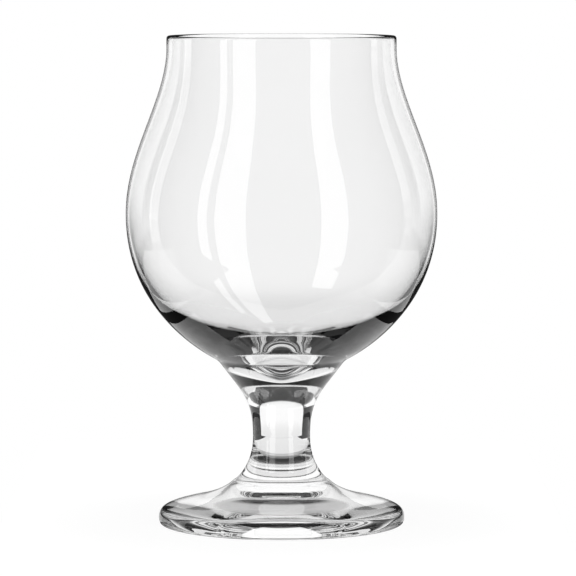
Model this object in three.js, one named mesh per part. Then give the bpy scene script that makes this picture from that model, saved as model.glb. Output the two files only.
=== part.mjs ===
// A stemmed tulip glass for tasting beer, standing on its foot with z = 0 at the table.
// It is three bodies of clear glass that are joined while hot: a blown bowl, a solid pressed stem
// and a pressed foot. They meet face to face at two flat seams. Millimetres and degrees, +Z up.
import * as THREE from "three";

// Overall height
const glassHeight = 104.2;

// Foot: a disc with a flared, domed top, standing on a flat ring around a hollow
const footRadius = 26.3;
const footEdgeHeight = 1.15;
const restRingRadius = 25.4;
const restRingWidth = 3.4;
const footHollowDepth = 5;
const footHollowFall = 5;
const footShoulderRadius = 17.8;
const footShoulderHeight = 5.7;
const footShoulderFall = 13.6;

// Seam where the stem stands on the foot, and how far the flare leans from upright there
const footSeamRadius = 10.15;
const footSeamHeight = 9.3;
const footSeamLean = 62.7;

// Waist of the stem
const waistRadius = 6.1;
const waistHeight = 18.45;

// Seam where the bowl stands on the stem
const bowlSeamRadius = 9.95;
const bowlSeamHeight = 30.4;

// Bowl outside: a solid button on the stem, a crease, then the swelling tulip
const creaseRadius = 13.55;
const creaseHeight = 35.1;
const creaseFillet = 0.8;
const bowlLean = 61.7;
const bellyRadius = 33.15;
const bellyHeight = 66.3;
const rimRadius = 24.4;
const rimBandHeight = 2.55;

// Glass thickness: thin at the rim and belly, thick at the heel, and at the floor over the seam
const rimWall = 1.2;
const bellyWall = 1;
const heelWall = 2.2;
const heelFlattening = 8;
const floorThickness = 2.8;

// How far along the outside, from the crease to the belly, the heel inside lies
const heelPlace = 0.38;

// Fullness of each curve at its start and end, as a share of the straight distance between them
const domeFullness = [0.28, 0.75];
const flareFullness = [0.71, 0.06];
const lowerStemFullness = [0.15, 0.48];
const upperStemFullness = [0.42, 0.42];
const lowerBowlFullness = [0.25, 0.47];
const shoulderFullness = [0.37, 0.3];
const innerWallFullness = [0.4, 0.3];
const innerFloorFullness = [0.28, 0.12];
const hollowFullness = [0.58, 0.59];

// Clear soda-lime glass: blown and fire-polished for the bowl, pressed for the stem and foot
const glassColour = "#eef4f3";
const glassOpacity = 0.35;
const blownRoughness = 0.01;
const pressedRoughness = 0.03;

// Fineness of the faces
const facetsAround = 64;
const longSteps = 12;
const mediumSteps = 8;
const shortSteps = 4;
const samePoint = 1e-6;

// Turns, in degrees
const quarterTurn = 90;
const halfTurn = 180;

// Directions in the half section, where x is the radius and y the height
const up = new THREE.Vector2(0, 1);
const down = new THREE.Vector2(0, -1);
const inwards = new THREE.Vector2(-1, 0);
const outwards = new THREE.Vector2(1, 0);
const origin = new THREE.Vector2(0, 0);

function point(radius, height) {
  return new THREE.Vector2(radius, height);
}

// Unit direction turned from another one, anticlockwise in the half section
function turned(direction, degrees) {
  return direction.clone().rotateAround(origin, THREE.MathUtils.degToRad(degrees));
}

function along(start, direction, distance) {
  return start.clone().addScaledVector(direction, distance);
}

function towards(start, end) {
  return end.clone().sub(start).normalize();
}

// A smooth curve that leaves one point and arrives at another in given directions
function bend(start, leaving, end, arriving, fullness) {
  const reach = start.distanceTo(end);
  const afterStart = along(start, leaving, reach * fullness[0]);
  const beforeEnd = along(end, arriving, -reach * fullness[1]);
  return new THREE.CubicBezierCurve(start, afterStart, beforeEnd, end);
}

// A small round between two straight runs that meet at a corner
function fillet(start, corner, end) {
  return new THREE.QuadraticBezierCurve(start, corner, end);
}

// A half section from points and stepped curves, with each shared end kept once
function outline(...runs) {
  const points = [];
  for (const run of runs) {
    const fresh = run.isVector2 ? [run] : run.curve.getPoints(run.steps);
    for (const next of fresh) {
      const last = points.at(-1);
      if (last === undefined || last.distanceTo(next) > samePoint) points.push(next);
    }
  }
  return points;
}

// A solid of revolution about +Z from a half section that starts and ends on the axis
function turnedSolid(name, halfSection, material) {
  const geometry = new THREE.LatheGeometry(halfSection, facetsAround);
  geometry.rotateX(Math.PI / 2);
  const mesh = new THREE.Mesh(geometry, material);
  mesh.name = name;
  return mesh;
}

function clearGlass(roughness) {
  return new THREE.MeshStandardMaterial({
    color: glassColour,
    roughness,
    metalness: 0,
    transparent: true,
    opacity: glassOpacity,
  });
}

// Foot, from the middle of its underside round its edge to the middle of its seam
function makeFoot() {
  const hollowTop = point(0, footHollowDepth);
  const ringInside = point(restRingRadius - restRingWidth, 0);
  const ringOutside = point(restRingRadius, 0);
  const lowerCorner = point(footRadius, 0);
  const edge = point(footRadius, footEdgeHeight);
  const shoulder = point(footShoulderRadius, footShoulderHeight);
  const climb = turned(inwards, -footShoulderFall);
  const seam = point(footSeamRadius, footSeamHeight);
  const intoStem = turned(up, footSeamLean);
  const ontoRing = turned(outwards, -footHollowFall);
  const halfSection = outline(
    { curve: bend(hollowTop, outwards, ringInside, ontoRing, hollowFullness), steps: longSteps },
    { curve: fillet(ringOutside, lowerCorner, edge), steps: shortSteps },
    { curve: bend(edge, up, shoulder, climb, domeFullness), steps: mediumSteps },
    { curve: bend(shoulder, climb, seam, intoStem, flareFullness), steps: mediumSteps },
    point(0, footSeamHeight),
  );
  return turnedSolid("foot", halfSection, clearGlass(pressedRoughness));
}

// Stem, from the foot's seam through the waist to the bowl's seam
function makeStem() {
  const footSeam = point(footSeamRadius, footSeamHeight);
  const waist = point(waistRadius, waistHeight);
  const bowlSeam = point(bowlSeamRadius, bowlSeamHeight);
  const crease = point(creaseRadius, creaseHeight);
  const fromFoot = turned(up, footSeamLean);
  const intoBowl = towards(bowlSeam, crease);
  const halfSection = outline(
    point(0, footSeamHeight),
    { curve: bend(footSeam, fromFoot, waist, up, lowerStemFullness), steps: mediumSteps },
    { curve: bend(waist, up, bowlSeam, intoBowl, upperStemFullness), steps: mediumSteps },
    point(0, bowlSeamHeight),
  );
  return turnedSolid("stem", halfSection, clearGlass(pressedRoughness));
}

// Bowl, from the stem's seam up the outside, over the rounded rim and down the inside to the floor
function makeBowl() {
  const seam = point(bowlSeamRadius, bowlSeamHeight);
  const crease = point(creaseRadius, creaseHeight);
  const belly = point(bellyRadius, bellyHeight);
  const bandHeight = glassHeight - rimBandHeight;
  const band = point(rimRadius, bandHeight);
  const lipRadius = rimWall / 2;
  const lipHeight = glassHeight - lipRadius;

  const buttonSide = towards(seam, crease);
  const swelling = turned(up, -bowlLean);
  const belowCrease = along(crease, buttonSide, -creaseFillet);
  const aboveCrease = along(crease, swelling, creaseFillet);
  const lowerBowl = bend(aboveCrease, swelling, belly, up, lowerBowlFullness);

  const innerBand = point(rimRadius - rimWall, bandHeight);
  const innerBelly = point(bellyRadius - bellyWall, bellyHeight);
  const outsideHeel = lowerBowl.getPoint(heelPlace);
  const outsideSlope = lowerBowl.getTangent(heelPlace);
  const heel = along(outsideHeel, turned(outsideSlope, quarterTurn), heelWall);
  const intoHeel = turned(outsideSlope, halfTurn - heelFlattening);
  const floor = point(0, bowlSeamHeight + floorThickness);

  const lip = new THREE.EllipseCurve(
    rimRadius - lipRadius, lipHeight, lipRadius, lipRadius, 0, Math.PI,
  );
  const halfSection = outline(
    point(0, bowlSeamHeight),
    seam,
    { curve: fillet(belowCrease, crease, aboveCrease), steps: shortSteps },
    { curve: lowerBowl, steps: longSteps },
    { curve: bend(belly, up, band, up, shoulderFullness), steps: longSteps },
    { curve: lip, steps: mediumSteps },
    { curve: bend(innerBand, down, innerBelly, down, shoulderFullness.toReversed()), steps: longSteps },
    { curve: bend(innerBelly, down, heel, intoHeel, innerWallFullness), steps: mediumSteps },
    { curve: bend(heel, intoHeel, floor, inwards, innerFloorFullness), steps: mediumSteps },
  );
  return turnedSolid("bowl", halfSection, clearGlass(blownRoughness));
}

const tasterGlass = new THREE.Group();
tasterGlass.add(makeFoot(), makeStem(), makeBowl());

export default tasterGlass;
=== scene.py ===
"""A stemmed tulip glass for tasting beer, in clear glass on white paper, lit in bright field."""
import math

import bmesh
import bpy
from mathutils import Matrix, Vector
from mathutils.geometry import interpolate_bezier


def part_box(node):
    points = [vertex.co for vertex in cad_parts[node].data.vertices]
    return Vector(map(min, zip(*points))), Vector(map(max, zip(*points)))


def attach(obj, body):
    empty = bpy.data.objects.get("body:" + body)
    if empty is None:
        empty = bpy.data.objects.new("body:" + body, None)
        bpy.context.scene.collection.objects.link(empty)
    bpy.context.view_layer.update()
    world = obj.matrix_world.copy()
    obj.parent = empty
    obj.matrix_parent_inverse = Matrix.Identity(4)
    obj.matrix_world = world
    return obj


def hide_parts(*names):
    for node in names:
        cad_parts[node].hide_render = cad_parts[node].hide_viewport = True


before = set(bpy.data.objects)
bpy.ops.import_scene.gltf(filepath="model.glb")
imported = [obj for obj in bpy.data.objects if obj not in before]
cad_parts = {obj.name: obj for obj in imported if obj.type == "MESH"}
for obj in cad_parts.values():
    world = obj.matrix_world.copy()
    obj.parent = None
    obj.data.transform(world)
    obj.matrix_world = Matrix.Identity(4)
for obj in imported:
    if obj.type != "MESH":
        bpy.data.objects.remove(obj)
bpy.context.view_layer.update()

scene = bpy.context.scene

MM = 0.001
FULL_TURN = 2 * math.pi

# Sizes from the frame
_, foot_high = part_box("foot")
stem_low, stem_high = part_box("stem")
_, bowl_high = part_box("bowl")
foot_radius = foot_high.x
foot_seam_radius = stem_high.x
foot_seam_height = stem_low.z
bowl_seam_height = stem_high.z
belly_radius = bowl_high.x
glass_height = bowl_high.z

# Foot
foot_edge_height = 1.15 * MM
rest_ring_radius = 25.4 * MM
rest_ring_width = 3.4 * MM
foot_hollow_depth = 5.0 * MM
foot_hollow_fall = math.radians(5)
foot_shoulder_radius = 17.8 * MM
foot_shoulder_height = 5.7 * MM
foot_shoulder_fall = math.radians(13.6)

# Stem
foot_seam_lean = math.radians(62.7)
waist_radius = 6.1 * MM
waist_height = 18.45 * MM
bowl_seam_radius = 9.95 * MM

# Bowl
crease_radius = 13.55 * MM
crease_height = 35.1 * MM
crease_fillet = 0.8 * MM
bowl_lean = math.radians(61.7)
belly_height = 66.3 * MM
rim_radius = 24.4 * MM
rim_band_height = 2.55 * MM
rim_wall = 1.2 * MM
belly_wall = 1.0 * MM
heel_wall = 2.2 * MM
heel_flattening = math.radians(8)
heel_place = 0.38
floor_thickness = 2.8 * MM

# Fullness of each curve at its start and end, as a share of the straight distance between them
dome_fullness = (0.28, 0.75)
flare_fullness = (0.71, 0.06)
lower_stem_fullness = (0.15, 0.48)
upper_stem_fullness = (0.42, 0.42)
lower_bowl_fullness = (0.25, 0.47)
shoulder_fullness = (0.37, 0.3)
inner_wall_fullness = (0.4, 0.3)
inner_floor_fullness = (0.28, 0.12)
hollow_fullness = (0.58, 0.59)
quarter_round = (0.39, 0.39)

# Fineness of the turned surfaces
steps_around = 192
long_steps = 56
medium_steps = 32
short_steps = 12

# White paper, and how brightly it shows through the glass and to the camera; its glow is painted light,
# dark in front and brightest near the card behind it
sheet_gap = 0.1 * MM
sheet_half_width = 60 * MM
sheet_front = 95 * MM
side_sheet_start = 72 * MM
side_sheet_end = 230 * MM
side_sheet_front = 95 * MM
table_width = 1200 * MM
sheet_front_fade = (-34 * MM, -12 * MM)
sheet_front_glow = 0.05
sheet_middle_glow = 0.83
sheet_back_glow = 0.86
sheet_camera_fade = (foot_radius, 3 * foot_radius)
sheet_camera_glow = 0.94

# Painted shade on the paper under the foot and the stem, as a share of its glow
under_foot_painted_shade_share = 0.7
stem_shade_place = (0, 7 * MM, 0)
stem_shade_radius = 13 * MM
stem_shade_share = 0.05
shade_soft_edge = 4 * MM

# Lit cards behind the glass
card_distance = 140 * MM
card_half_width = 92 * MM
card_height = 400 * MM
card_glow = 1.07
card_foot_glow = 0.89
card_fade = (0, 32 * MM)
wide_card_half_width = 230 * MM
wide_card_fade = (25 * MM, 85 * MM)

# Cards that show only in reflections, with dark gaps between them
middle_reflector_half_width = 45 * MM
middle_reflector_top = 60 * MM
side_reflector = (95 * MM, 420 * MM)
reflector_glow = 0.88
reflector_fade = (5 * MM, 30 * MM)

# Lit cards for three other views, given as azimuth and elevation in degrees
far_card_views = ((45, 25), (90, 3), (225, 15))
far_card_distance = 600 * MM
far_card_width = 260 * MM

# Brightness of the room that the glass sees past the paper and the cards
dark_room = 0.03

# Glass faces that light meets on its way
wall_faces = 2.0
bowl_faces = 4.0
half_a_face = 0.5
faces_undimmed = bowl_faces + half_a_face
faces_that_darken = 7.5

# Softboxes, with their brightness
lamp_distance = 400 * MM
window_radiance = 2.5
strip_radiances = (("strip", 1.7), ("strip_middle", 1.1), ("strip_end", 0.5))

UP = Vector((0, 0, 1))
DOWN = Vector((0, 0, -1))
IN = Vector((-1, 0, 0))
OUT = Vector((1, 0, 0))


# Half sections, drawn in the plane y = 0 with x as the radius and z as the height

def at(radius, height):
    return Vector((radius, 0, height))


def lean(direction, angle):
    """The direction turned clockwise in the half section, away from the axis."""
    return Matrix.Rotation(angle, 3, "Y") @ direction


def bend(start, leaving, end, arriving, fullness):
    """The four control points of a curve that leaves one point and arrives at another."""
    reach = (end - start).length
    return start, start + leaving * reach * fullness[0], end - arriving * reach * fullness[1], end


def drawn(curve, steps):
    return interpolate_bezier(*curve, steps + 1)


def curve_point(curve, place):
    """The point and the direction of a curve at a place from 0 to 1 along it."""
    start, after_start, before_end, end = curve
    first = start.lerp(after_start, place)
    second = after_start.lerp(before_end, place)
    third = before_end.lerp(end, place)
    before = first.lerp(second, place)
    after = second.lerp(third, place)
    return before.lerp(after, place), (after - before).normalized()


def foot_outline():
    hollow_top = at(0, foot_hollow_depth)
    ring_inside = at(rest_ring_radius - rest_ring_width, 0)
    ring_outside = at(rest_ring_radius, 0)
    edge = at(foot_radius, foot_edge_height)
    shoulder = at(foot_shoulder_radius, foot_shoulder_height)
    climb = lean(IN, foot_shoulder_fall)
    seam = at(foot_seam_radius, foot_seam_height)
    onto_ring = lean(OUT, foot_hollow_fall)
    return [
        *drawn(bend(hollow_top, OUT, ring_inside, onto_ring, hollow_fullness), medium_steps),
        *drawn(bend(ring_outside, OUT, edge, UP, quarter_round), short_steps),
        *drawn(bend(edge, UP, shoulder, climb, dome_fullness), medium_steps),
        *drawn(bend(shoulder, climb, seam, lean(UP, -foot_seam_lean), flare_fullness), medium_steps),
        at(0, foot_seam_height),
    ]


def stem_outline():
    foot_seam = at(foot_seam_radius, foot_seam_height)
    waist = at(waist_radius, waist_height)
    bowl_seam = at(bowl_seam_radius, bowl_seam_height)
    into_bowl = (at(crease_radius, crease_height) - bowl_seam).normalized()
    from_foot = lean(UP, -foot_seam_lean)
    return [
        at(0, foot_seam_height),
        *drawn(bend(foot_seam, from_foot, waist, UP, lower_stem_fullness), medium_steps),
        *drawn(bend(waist, UP, bowl_seam, into_bowl, upper_stem_fullness), medium_steps),
        at(0, bowl_seam_height),
    ]


def bowl_outline():
    seam = at(bowl_seam_radius, bowl_seam_height)
    crease = at(crease_radius, crease_height)
    belly = at(belly_radius, belly_height)
    band = at(rim_radius, glass_height - rim_band_height)
    lip_radius = rim_wall / 2
    lip_outside = at(rim_radius, glass_height - lip_radius)
    lip_top = at(rim_radius - lip_radius, glass_height)
    lip_inside = at(rim_radius - rim_wall, glass_height - lip_radius)

    button_side = (crease - seam).normalized()
    swelling = lean(UP, bowl_lean)
    below_crease = crease - button_side * crease_fillet
    above_crease = crease + swelling * crease_fillet
    lower_bowl = bend(above_crease, swelling, belly, UP, lower_bowl_fullness)

    inner_band = at(rim_radius - rim_wall, glass_height - rim_band_height)
    inner_belly = at(belly_radius - belly_wall, belly_height)
    outside_heel, outside_slope = curve_point(lower_bowl, heel_place)
    heel = outside_heel + lean(outside_slope, -FULL_TURN / 4) * heel_wall
    into_heel = lean(-outside_slope, heel_flattening)
    floor = at(0, bowl_seam_height + floor_thickness)
    return [
        at(0, bowl_seam_height),
        seam,
        *drawn(bend(below_crease, button_side, above_crease, swelling, quarter_round), short_steps),
        *drawn(lower_bowl, long_steps),
        *drawn(bend(belly, UP, band, UP, shoulder_fullness), long_steps),
        *drawn(bend(lip_outside, UP, lip_top, IN, quarter_round), short_steps),
        *drawn(bend(lip_top, IN, lip_inside, DOWN, quarter_round), short_steps),
        *drawn(bend(inner_band, DOWN, inner_belly, DOWN, shoulder_fullness[::-1]), long_steps),
        *drawn(bend(inner_belly, DOWN, heel, into_heel, inner_wall_fullness), medium_steps),
        *drawn(bend(heel, into_heel, floor, IN, inner_floor_fullness), medium_steps),
    ]


def turned_glass(name, outline, seam_heights, glass, seam):
    """A closed solid turned from a half section, whose flat seam faces pass light unbent."""
    same_point = 1e-7
    shell = bmesh.new()
    points = [shell.verts.new(point) for point in outline]
    runs = [shell.edges.new(pair) for pair in zip(points, points[1:])]
    bmesh.ops.spin(
        shell, geom=points + runs, cent=(0, 0, 0), axis=UP,
        angle=FULL_TURN, steps=steps_around, use_merge=True,
    )
    bmesh.ops.remove_doubles(shell, verts=shell.verts, dist=same_point)
    bmesh.ops.recalc_face_normals(shell, faces=shell.faces)
    for face in shell.faces:
        heights = [corner.co.z for corner in face.verts]
        on_seam = any(
            max(abs(height - seam_height) for height in heights) < same_point
            for seam_height in seam_heights
        )
        face.smooth = True
        face.material_index = int(on_seam)
    for edge in shell.edges:
        kinds = {face.material_index for face in edge.link_faces}
        edge.smooth = len(kinds) == 1
    mesh = bpy.data.meshes.new(name)
    shell.to_mesh(mesh)
    shell.free()
    mesh.materials.append(glass)
    mesh.materials.append(seam)
    piece = bpy.data.objects.new(name, mesh)
    scene.collection.objects.link(piece)
    return piece


# Materials

SODA_LIME_IOR = 1.52


def linear(hex_colour):
    """An sRGB hex colour as linear red, green, blue and alpha."""
    channels = [int(hex_colour[start:start + 2], 16) / 255 for start in (1, 3, 5)]
    return [
        channel / 12.92 if channel <= 0.04045 else ((channel + 0.055) / 1.055) ** 2.4
        for channel in channels
    ] + [1]


def add(tree, kind, settings=None, sockets=None):
    """Adds a node, sets its properties, and sets or links its input sockets."""
    node = tree.nodes.new(kind)
    for name, value in (settings or {}).items():
        setattr(node, name, value)
    for name, value in (sockets or {}).items():
        if isinstance(value, bpy.types.NodeSocket):
            tree.links.new(value, node.inputs[name])
        else:
            node.inputs[name].default_value = value
    return node


def new_material(name):
    material = bpy.data.materials.new(name)
    material.use_nodes = True
    tree = material.node_tree
    tree.nodes.clear()
    return material, tree


def clear_soda_lime_glass(name, ripple_length, ripple_depth, ripple_detail):
    """Clear, glossy glass whose skin has low ripples of a real length and depth."""
    material, tree = new_material(name)
    place = add(tree, "ShaderNodeTexCoord")
    ripples = add(tree, "ShaderNodeTexNoise", {}, {
        "Vector": place.outputs["Object"], "Scale": 1 / ripple_length, "Detail": ripple_detail,
    })
    relief = add(tree, "ShaderNodeBump", {}, {
        "Height": ripples.outputs["Fac"], "Distance": ripple_depth, "Strength": 1.0,
    })
    glass = add(tree, "ShaderNodeBsdfPrincipled", {}, {
        "Base Color": linear("#fefefe"), "Roughness": 0.0, "IOR": SODA_LIME_IOR,
        "Transmission Weight": 1.0, "Normal": relief.outputs["Normal"],
    })
    add(tree, "ShaderNodeOutputMaterial", {}, {"Surface": glass.outputs["BSDF"]})
    return material


def blown_soda_lime_glass():
    """Blown in a mould and fire-polished: a bright, liquid surface with faint slow waves."""
    return clear_soda_lime_glass(
        "blown_soda_lime_glass", ripple_length=14 * MM, ripple_depth=0.004 * MM, ripple_detail=0.0,
    )


def pressed_soda_lime_glass():
    """Pressed in an iron mould: the chilled skin keeps small ripples that break up what shows through."""
    return clear_soda_lime_glass(
        "pressed_soda_lime_glass", ripple_length=5 * MM, ripple_depth=0.012 * MM, ripple_detail=1.0,
    )


def hot_fused_seam():
    """The place where two gathers of hot glass have run into one: light crosses it unbent."""
    material, tree = new_material("hot_fused_seam")
    clear = add(tree, "ShaderNodeBsdfTransparent", {}, {"Color": linear("#ffffff")})
    add(tree, "ShaderNodeOutputMaterial", {}, {"Surface": clear.outputs["BSDF"]})
    return material


def after_long_path(tree, glow):
    """The glow, dimmed to nothing for light that has met many glass faces.

    It deepens the dark bands in the glass, and doesn't stand for light that the glass takes up.
    """
    path = add(tree, "ShaderNodeLightPath")
    share = add(tree, "ShaderNodeMapRange", {}, {
        "Value": path.outputs["Ray Depth"], "From Min": faces_undimmed, "From Max": faces_that_darken,
        "To Min": 1.0, "To Max": 0.0,
    })
    dimmed = add(tree, "ShaderNodeMath", {"operation": "MULTIPLY"}, {
        0: glow, 1: share.outputs["Result"],
    })
    return dimmed.outputs["Value"]


def through_two_walls(tree, path):
    """Is 1 for light that has crossed both walls of the bowl and met nothing else, and otherwise 0."""
    crossed = add(tree, "ShaderNodeMath", {"operation": "COMPARE"}, {
        0: path.outputs["Ray Depth"], 1: bowl_faces, 2: half_a_face,
    })
    return crossed.outputs["Value"]


def white_sheet():
    """Matt white paper that glows with painted light: most near the card behind it and less in front,
    with painted shade under the foot and the stem.

    Light that has crossed both walls of the bowl finds the front as bright as the middle.
    """
    material, tree = new_material("matt_white_paper_with_painted_light")
    place = add(tree, "ShaderNodeTexCoord")
    axes = add(tree, "ShaderNodeSeparateXYZ", {}, {"Vector": place.outputs["Object"]})
    # Painted light: the paper glows dark in front and brighter further back, towards the card behind it
    painted_front_fade = add(tree, "ShaderNodeMapRange", {"interpolation_type": "SMOOTHSTEP"}, {
        "Value": axes.outputs["Y"], "From Min": sheet_front_fade[0], "From Max": sheet_front_fade[1],
        "To Min": sheet_front_glow, "To Max": sheet_middle_glow,
    })
    painted_light_near_card = add(tree, "ShaderNodeMapRange", {}, {
        "Value": axes.outputs["Y"], "From Max": card_distance,
        "To Max": sheet_back_glow - sheet_middle_glow,
    })
    path = add(tree, "ShaderNodeLightPath")
    even_light = add(tree, "ShaderNodeMath", {"operation": "MULTIPLY"}, {
        0: through_two_walls(tree, path), 1: sheet_middle_glow,
    })
    front_light = add(tree, "ShaderNodeMath", {"operation": "MAXIMUM"}, {
        0: painted_front_fade.outputs["Result"], 1: even_light.outputs["Value"],
    })
    brightened = add(tree, "ShaderNodeMath", {"operation": "ADD"}, {
        0: front_light.outputs["Value"], 1: painted_light_near_card.outputs["Result"],
    })
    glow = brightened.outputs["Value"]
    # Painted shade: the glow is darkened under the foot and in a patch behind the stem
    for middle, radius, share in (
        ((0, 0, 0), foot_radius, under_foot_painted_shade_share),
        (stem_shade_place, stem_shade_radius, stem_shade_share),
    ):
        reach = add(tree, "ShaderNodeVectorMath", {"operation": "DISTANCE"}, {
            0: place.outputs["Object"], 1: middle,
        })
        shade = add(tree, "ShaderNodeMapRange", {"interpolation_type": "SMOOTHSTEP"}, {
            "Value": reach.outputs["Value"], "From Min": radius - shade_soft_edge, "From Max": radius,
            "To Min": share, "To Max": 1.0,
        })
        shaded = add(tree, "ShaderNodeMath", {"operation": "MULTIPLY"}, {
            0: glow, 1: shade.outputs["Result"],
        })
        glow = shaded.outputs["Value"]
    from_axis = add(tree, "ShaderNodeVectorMath", {"operation": "LENGTH"}, {0: place.outputs["Object"]})
    background = add(tree, "ShaderNodeMapRange", {"interpolation_type": "SMOOTHSTEP"}, {
        "Value": from_axis.outputs["Value"],
        "From Min": sheet_camera_fade[0], "From Max": sheet_camera_fade[1],
        "To Min": sheet_camera_glow, "To Max": 1.0,
    })
    to_camera = add(tree, "ShaderNodeMath", {"operation": "MULTIPLY"}, {
        0: path.outputs["Is Camera Ray"], 1: background.outputs["Result"],
    })
    strength = add(tree, "ShaderNodeMath", {"operation": "MAXIMUM"}, {
        0: glow, 1: to_camera.outputs["Value"],
    })
    matt = add(tree, "ShaderNodeBsdfDiffuse", {}, {"Color": linear("#606060")})
    lit = add(tree, "ShaderNodeEmission", {}, {
        "Color": linear("#ffffff"), "Strength": strength.outputs["Value"],
    })
    paper = add(tree, "ShaderNodeAddShader", {}, {0: matt.outputs["BSDF"], 1: lit.outputs["Emission"]})
    add(tree, "ShaderNodeOutputMaterial", {}, {"Surface": paper.outputs["Shader"]})
    return material


def backlit_card(name, fade, foot_glow, full_glow):
    """White card with a lamp behind it: an even, bright field for the glass, dimmer towards its foot."""
    material, tree = new_material(name)
    place = add(tree, "ShaderNodeTexCoord")
    axes = add(tree, "ShaderNodeSeparateXYZ", {}, {"Vector": place.outputs["Object"]})
    glow = add(tree, "ShaderNodeMapRange", {"interpolation_type": "SMOOTHSTEP"}, {
        "Value": axes.outputs["Z"], "From Min": fade[0], "From Max": fade[1],
        "To Min": foot_glow, "To Max": full_glow,
    })
    lit = add(tree, "ShaderNodeEmission", {}, {
        "Color": linear("#ffffff"), "Strength": after_long_path(tree, glow.outputs["Result"]),
    })
    add(tree, "ShaderNodeOutputMaterial", {}, {"Surface": lit.outputs["Emission"]})
    return material


def wide_backlit_card():
    """White card that fades into the open towards its foot, and shows only past one wall of glass."""
    material, tree = new_material("wide_backlit_card")
    place = add(tree, "ShaderNodeTexCoord")
    axes = add(tree, "ShaderNodeSeparateXYZ", {}, {"Vector": place.outputs["Object"]})
    share = add(tree, "ShaderNodeMapRange", {"interpolation_type": "SMOOTHSTEP"}, {
        "Value": axes.outputs["Z"], "From Min": wide_card_fade[0], "From Max": wide_card_fade[1],
    })
    path = add(tree, "ShaderNodeLightPath")
    past_a_wall = add(tree, "ShaderNodeMath", {"operation": "GREATER_THAN"}, {
        0: path.outputs["Ray Depth"], 1: wall_faces + half_a_face,
    })
    shown = add(tree, "ShaderNodeMath", {"operation": "MULTIPLY"}, {
        0: share.outputs["Result"], 1: past_a_wall.outputs["Value"],
    })
    lit = add(tree, "ShaderNodeEmission", {}, {
        "Color": linear("#ffffff"), "Strength": after_long_path(tree, card_glow),
    })
    clear = add(tree, "ShaderNodeBsdfTransparent")
    card = add(tree, "ShaderNodeMixShader", {}, {
        "Fac": shown.outputs["Value"], 1: clear.outputs["BSDF"], 2: lit.outputs["Emission"],
    })
    add(tree, "ShaderNodeOutputMaterial", {}, {"Surface": card.outputs["Shader"]})
    return material


def table_through_bowl():
    """The white table further out: it shows only to light that has crossed the bowl's two walls."""
    material, tree = new_material("table_through_bowl")
    path = add(tree, "ShaderNodeLightPath")
    clear = add(tree, "ShaderNodeBsdfTransparent")
    lit = add(tree, "ShaderNodeEmission", {}, {"Color": linear("#ffffff"), "Strength": card_glow})
    table = add(tree, "ShaderNodeMixShader", {}, {
        "Fac": through_two_walls(tree, path), 1: clear.outputs["BSDF"], 2: lit.outputs["Emission"],
    })
    add(tree, "ShaderNodeOutputMaterial", {}, {"Surface": table.outputs["Shader"]})
    return material


def far_backlit_card():
    """White card for another view: it shows only to light that has crossed one or two whole walls."""
    material, tree = new_material("far_backlit_card")
    path = add(tree, "ShaderNodeLightPath")
    few = add(tree, "ShaderNodeMath", {"operation": "LESS_THAN"}, {
        0: path.outputs["Ray Depth"], 1: bowl_faces + half_a_face,
    })
    within_a_wall = add(tree, "ShaderNodeMath", {"operation": "MODULO"}, {
        0: path.outputs["Ray Depth"], 1: wall_faces,
    })
    straight = add(tree, "ShaderNodeMath", {"operation": "GREATER_THAN"}, {
        0: few.outputs["Value"], 1: within_a_wall.outputs["Value"],
    })
    strength = add(tree, "ShaderNodeMath", {"operation": "MULTIPLY"}, {
        0: straight.outputs["Value"], 1: card_glow,
    })
    lit = add(tree, "ShaderNodeEmission", {}, {
        "Color": linear("#ffffff"), "Strength": strength.outputs["Value"],
    })
    add(tree, "ShaderNodeOutputMaterial", {}, {"Surface": lit.outputs["Emission"]})
    return material


# Camera, at the photograph's height and distance

image_pixels = 576
focal_pixels = 3892
sensor_width = 36
camera_distance = 827 * MM
camera_height = 121 * MM
nearest_seen = 10 * MM
aim = Vector((1.38 * MM, 0, 50.45 * MM))

camera_data = bpy.data.cameras.new("camera")
camera_data.sensor_width = sensor_width
camera_data.lens = sensor_width * focal_pixels / image_pixels
camera_data.clip_start = nearest_seen
camera = bpy.data.objects.new("camera", camera_data)
camera.location = (0, -camera_distance, camera_height)
camera.rotation_euler = (aim - camera.location).to_track_quat("-Z", "Y").to_euler()
scene.collection.objects.link(camera)
scene.camera = camera

# The three bodies of glass

blown = blown_soda_lime_glass()
pressed = pressed_soda_lime_glass()
fused = hot_fused_seam()

bowl = turned_glass("blown_bowl", bowl_outline(), [bowl_seam_height], blown, fused)
stem = turned_glass("pressed_stem", stem_outline(), [foot_seam_height, bowl_seam_height], pressed, fused)
foot = turned_glass("pressed_foot", foot_outline(), [foot_seam_height], pressed, fused)

for piece, node, slot in (
    (bowl, "bowl", "blown_glass"),
    (stem, "stem", "pressed_glass"),
    (foot, "foot", "pressed_glass"),
):
    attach(piece, "root")
    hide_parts(node)


# White paper under the glass, and lit cards behind it as seen from the camera and from three other sides

def stage_panel(name, place, width, height, material):
    """A flat white rectangle around the glass, which isn't part of it."""
    mesh = bpy.data.meshes.new(name)
    panel = bmesh.new()
    bmesh.ops.create_grid(
        panel, x_segments=1, y_segments=1, size=0.5,
        matrix=place @ Matrix.Diagonal((width, height, 1, 1)),
    )
    panel.to_mesh(mesh)
    panel.free()
    mesh.materials.append(material)
    stage = bpy.data.objects.new(name, mesh)
    scene.collection.objects.link(stage)
    return stage


def hide_from_camera(stage):
    stage.visible_camera = False
    stage.visible_diffuse = False
    stage.visible_shadow = False


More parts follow.
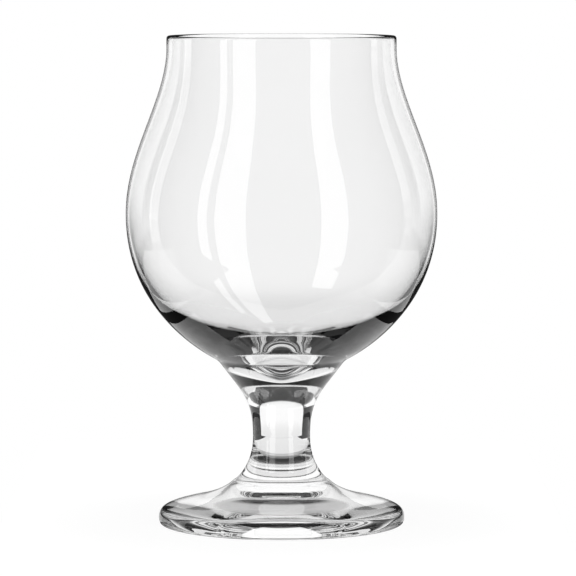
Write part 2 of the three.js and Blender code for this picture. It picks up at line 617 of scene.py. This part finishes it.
upright = Matrix.Rotation(FULL_TURN / 4, 4, "X")
paper = white_sheet()
stage_panel(
    "back_sheet", Matrix.Translation((0, card_distance / 2, -sheet_gap)),
    2 * sheet_half_width, card_distance, paper,
)
front_sheet = stage_panel(
    "front_sheet", Matrix.Translation((0, -sheet_front / 2, -sheet_gap)),
    2 * sheet_half_width, sheet_front, paper,
)
front_sheet.visible_glossy = False
middle_aside = (side_sheet_start + side_sheet_end) / 2
middle_behind = (card_distance - side_sheet_front) / 2
for side in (-1, 1):
    side_sheet = stage_panel(
        f"side_sheet_{side}", Matrix.Translation((side * middle_aside, middle_behind, -sheet_gap)),
        side_sheet_end - side_sheet_start, card_distance + side_sheet_front, paper,
    )
    hide_from_camera(side_sheet)
    side_sheet.visible_transmission = False

table = stage_panel(
    "table", Matrix.Translation((0, 0, -2 * sheet_gap)), table_width, table_width, table_through_bowl(),
)
hide_from_camera(table)
table.visible_glossy = False

near_white = backlit_card("backlit_card", card_fade, card_foot_glow, card_glow)
wide_white = wide_backlit_card()
reflected_white = backlit_card("reflected_card", reflector_fade, 0.0, reflector_glow)
for name, left, right, top, white, reflected in (
    ("card", -card_half_width, card_half_width, card_height, near_white, False),
    ("wide_card_left", -wide_card_half_width, -card_half_width, card_height, wide_white, False),
    ("wide_card_right", card_half_width, wide_card_half_width, card_height, wide_white, False),
    ("middle_reflector", -middle_reflector_half_width, middle_reflector_half_width, middle_reflector_top,
     reflected_white, True),
    ("left_reflector", -side_reflector[1], -side_reflector[0], card_height, reflected_white, True),
    ("right_reflector", *side_reflector, card_height, reflected_white, True),
):
    card = stage_panel(
        name, Matrix.Translation(((left + right) / 2, card_distance, top / 2)) @ upright,
        right - left, top, white,
    )
    hide_from_camera(card)
    card.visible_glossy = reflected
    card.visible_transmission = not reflected

far_white = far_backlit_card()
glass_middle = Matrix.Translation((0, 0, glass_height / 2))
away = Matrix.Translation((0, far_card_distance, 0))
for azimuth, elevation in far_card_views:
    around = Matrix.Rotation(math.radians(azimuth), 4, "Z")
    tilt = Matrix.Rotation(math.radians(-elevation), 4, "X")
    behind = glass_middle @ around @ tilt @ away @ upright
    far_card = stage_panel(f"far_card_{azimuth}", behind, far_card_width, far_card_width, far_white)
    hide_from_camera(far_card)
    far_card.visible_glossy = False

# Surroundings: white to the camera, and a dark room to the glass

world = bpy.data.worlds.new("studio")
scene.world = world
world.use_nodes = True
sky = world.node_tree
sky.nodes.clear()
sky_path = add(sky, "ShaderNodeLightPath")
level = add(sky, "ShaderNodeMapRange", {}, {
    "Value": sky_path.outputs["Is Camera Ray"], "To Min": dark_room, "To Max": 1.0,
})
room = add(sky, "ShaderNodeBackground", {}, {
    "Color": linear("#ffffff"), "Strength": level.outputs["Result"],
})
add(sky, "ShaderNodeOutputWorld", {}, {"Surface": room.outputs["Background"]})


# Softboxes, as upright panes around the glass

def softbox(name, from_angle, to_angle, bottom, top, radiance):
    """A tall pane of light facing the glass, which shows in reflections and not through the glass.

    Angles are in degrees and turn from the camera's side to the right. Heights are in metres, and a pane
    may reach below the paper, so that its reflection runs further down the bowl.
    """
    middle = math.radians((from_angle + to_angle) / 2)
    width = 2 * lamp_distance * math.tan(math.radians(abs(to_angle - from_angle) / 2))
    height = top - bottom
    light = bpy.data.lights.new(name, "AREA")
    light.shape = "RECTANGLE"
    light.size = width
    light.size_y = height
    light.energy = radiance * math.pi * width * height
    lamp = bpy.data.objects.new(name, light)
    lamp.location = (
        lamp_distance * math.sin(middle), -lamp_distance * math.cos(middle), (bottom + top) / 2,
    )
    lamp.rotation_euler = (FULL_TURN / 4, 0, middle)
    lamp.visible_camera = False
    lamp.visible_transmission = False
    scene.collection.objects.link(lamp)


softbox("left_pane", from_angle=-48, to_angle=-25, bottom=-2.0, top=0.51, radiance=window_radiance)
softbox("left_sash", from_angle=-61.5, to_angle=-54, bottom=-0.8, top=0.45, radiance=window_radiance)
softbox("right_pane", from_angle=28, to_angle=48, bottom=-0.36, top=0.51, radiance=window_radiance)

# Two narrow strips at the sides, which fade downwards in three steps

for side, angles, heights in (
    ("left", (-110, -99), (0.45, 0.04, -0.02, -0.07)),
    ("right", (98, 108), (0.45, 0.1, 0.05, 0.0)),
):
    for (part, radiance), top, bottom in zip(strip_radiances, heights, heights[1:]):
        softbox(f"{side}_{part}", *angles, bottom, top, radiance)

# Light passes through several walls of glass

scene.cycles.max_bounces = 24
scene.cycles.transmission_bounces = 24
scene.cycles.glossy_bounces = 12
scene.view_settings.view_transform = "Standard"
